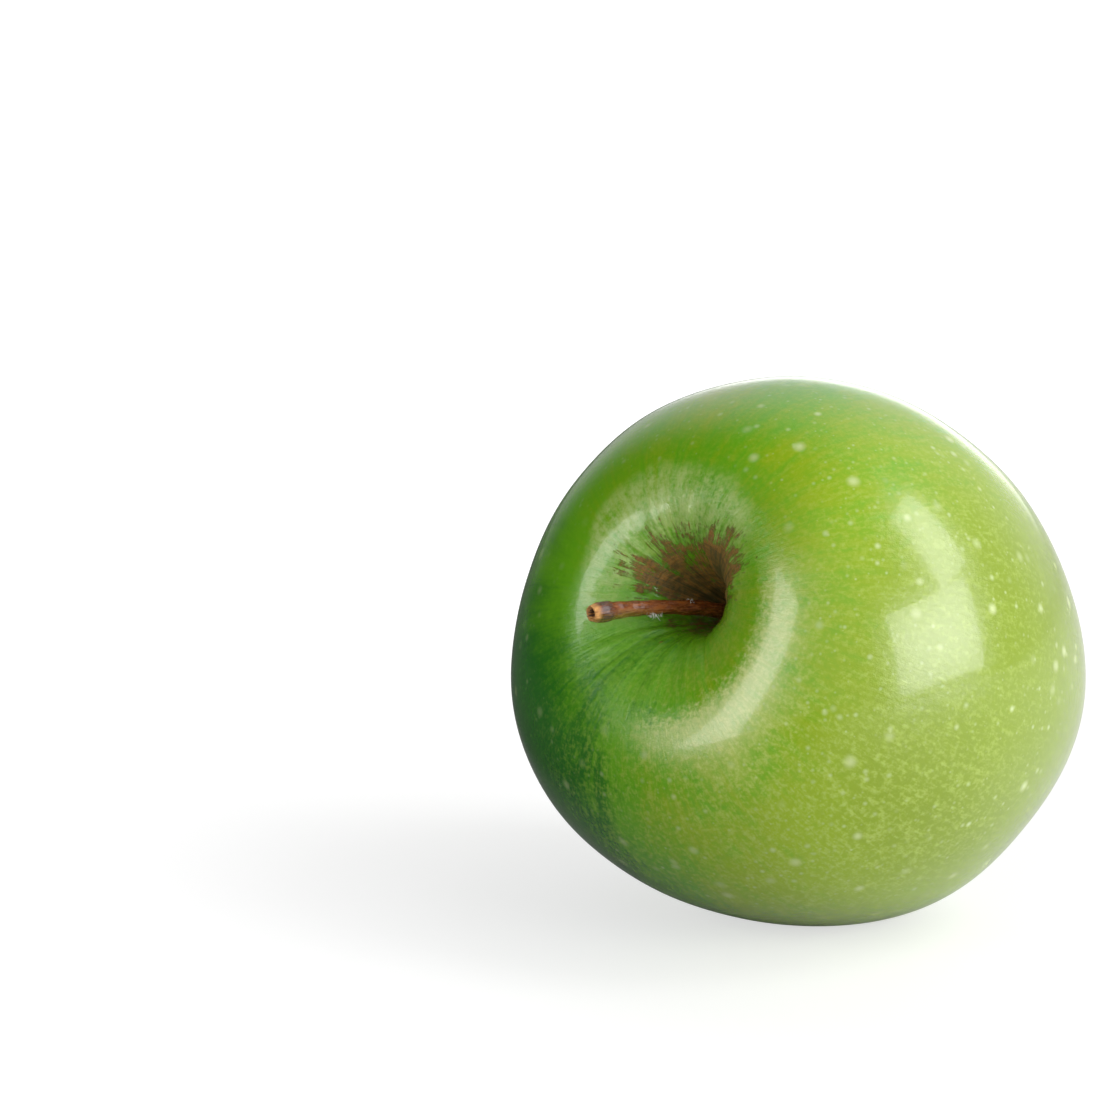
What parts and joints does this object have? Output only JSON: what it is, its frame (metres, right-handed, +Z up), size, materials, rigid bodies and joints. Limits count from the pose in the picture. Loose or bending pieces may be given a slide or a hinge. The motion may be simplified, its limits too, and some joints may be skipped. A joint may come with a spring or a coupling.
{
  "type": "apple",
  "caption": "Whole fresh green apple lying on its side, with its bent stem in the stem cavity and the dried flower remains in the eye.",
  "frame": {"origin": "middle of the small flat spot on the flank that the apple rests on", "axes": "+Z up from the surface it rests on; the core lies in the YZ plane, its stem end towards -Y and raised 23 degrees, its eye towards +Y; +X is to the right when looking along +Y at the stem end"},
  "size_m": [0.0798, 0.0776, 0.0778],
  "materials": {
    "apple_skin": "waxy yellow-green skin, darker green round the stem, with pale dots and brown russet in the stem cavity",
    "stem_bark": "reddish-brown woody bark with a torn tan end",
    "dried_sepal": "grey-brown, dry and papery",
    "dried_thread": "dark brown, dry"
  },
  "bodies": {
    "root": {"fruit": "apple_skin", "stem": "stem_bark", "sepal_1": "dried_sepal", "sepal_2": "dried_sepal", "sepal_3": "dried_sepal", "sepal_4": "dried_sepal", "sepal_5": "dried_sepal", "stamen_01": "dried_thread", "stamen_02": "dried_thread", "stamen_03": "dried_thread", "stamen_04": "dried_thread", "stamen_05": "dried_thread", "stamen_06": "dried_thread", "stamen_07": "dried_thread", "stamen_08": "dried_thread", "stamen_09": "dried_thread", "stamen_10": "dried_thread", "styles": "dried_thread"}
  },
  "joints": []
}
